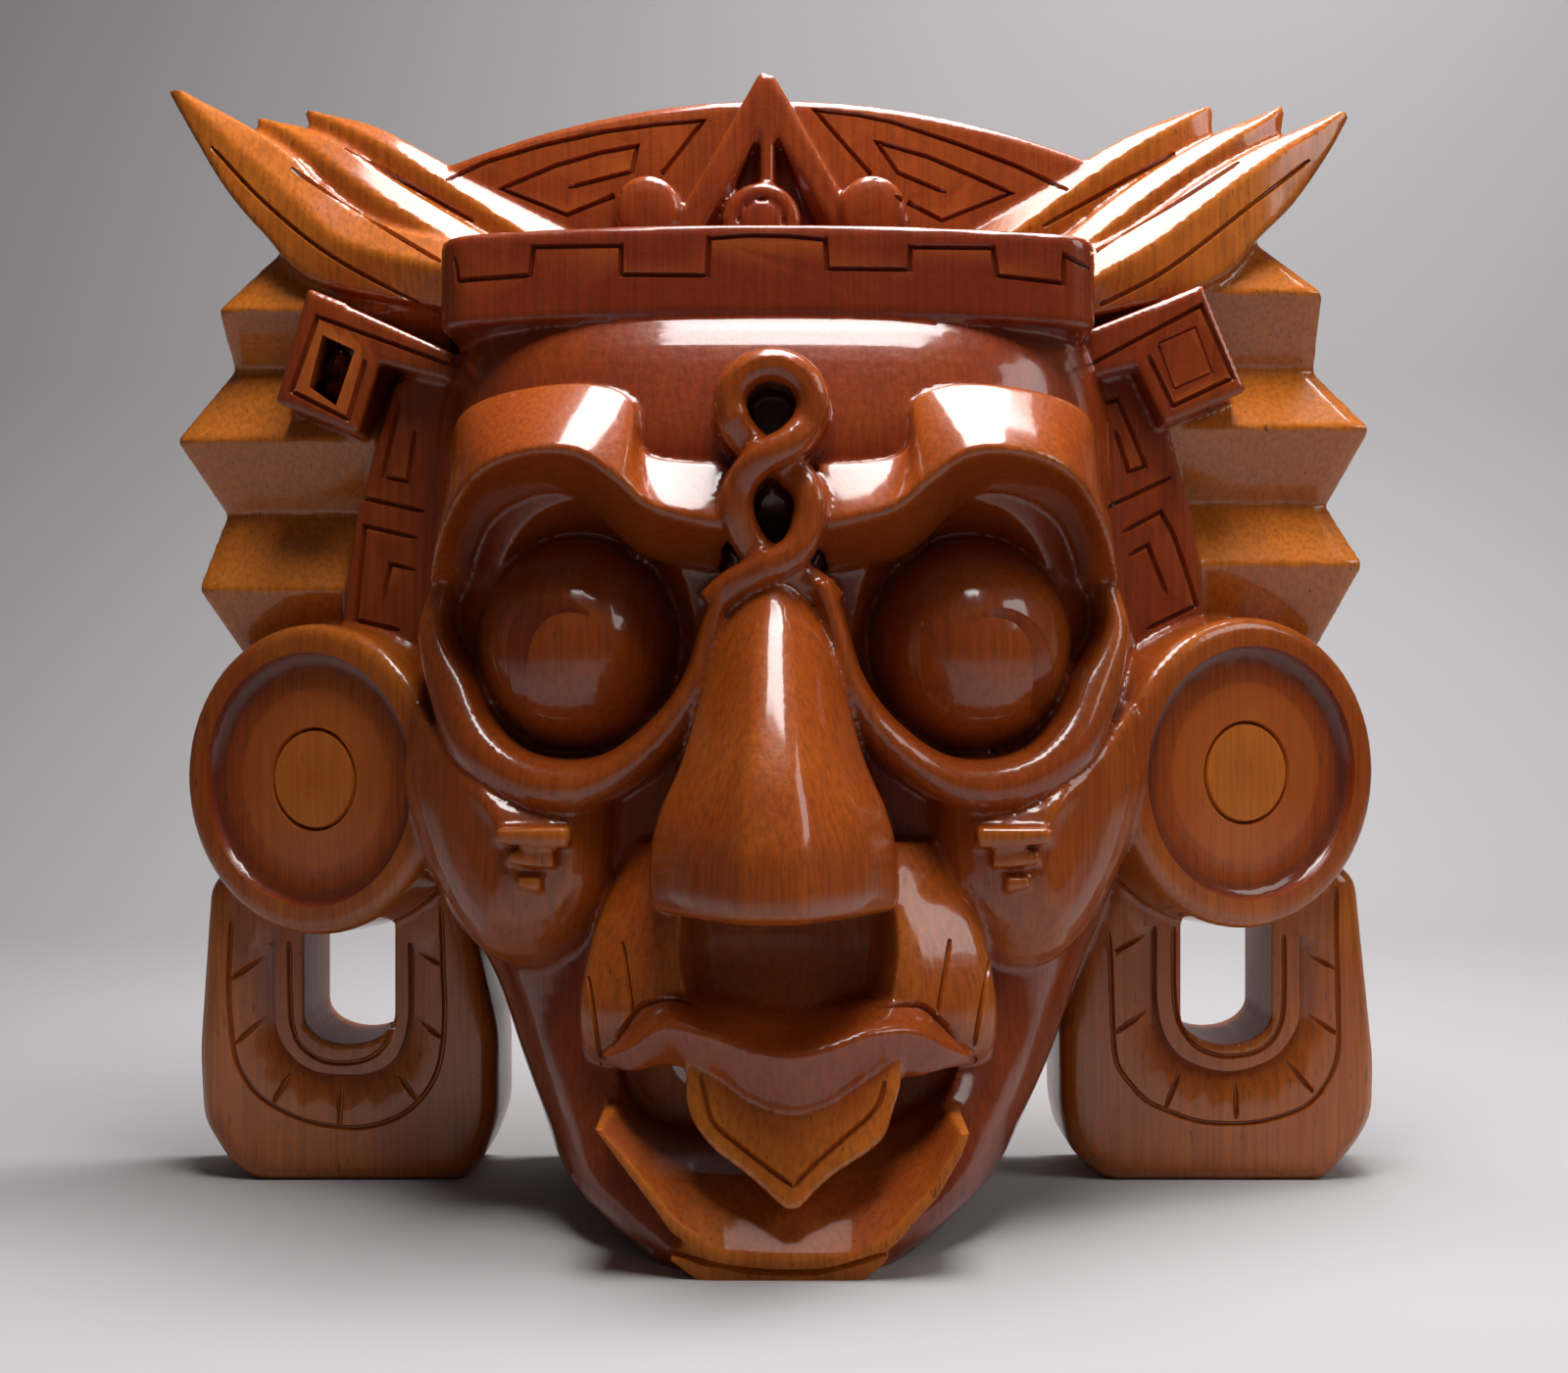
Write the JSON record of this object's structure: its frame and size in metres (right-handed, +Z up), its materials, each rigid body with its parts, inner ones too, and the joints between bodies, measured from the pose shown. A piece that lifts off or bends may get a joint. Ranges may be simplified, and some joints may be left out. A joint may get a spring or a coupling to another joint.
{
  "type": "mask",
  "caption": "Carved wooden wall mask of a grotesque deity face with headband, crown, feathers, square hooks, pleated side fans, round ear discs and ear pendants, standing on its pendants and chin",
  "frame": {"origin": "middle of the underside of the standing mask, at the feet of the pendants and the chin", "axes": "+Z up, the face looks towards -Y, +X to the right of someone looking at the face"},
  "size_m": [0.3294, 0.145, 0.298],
  "materials": {
    "stained_wood": "glossy lacquer over reddish stain"
  },
  "bodies": {
    "root": {"mask": "stained_wood"}
  },
  "joints": []
}
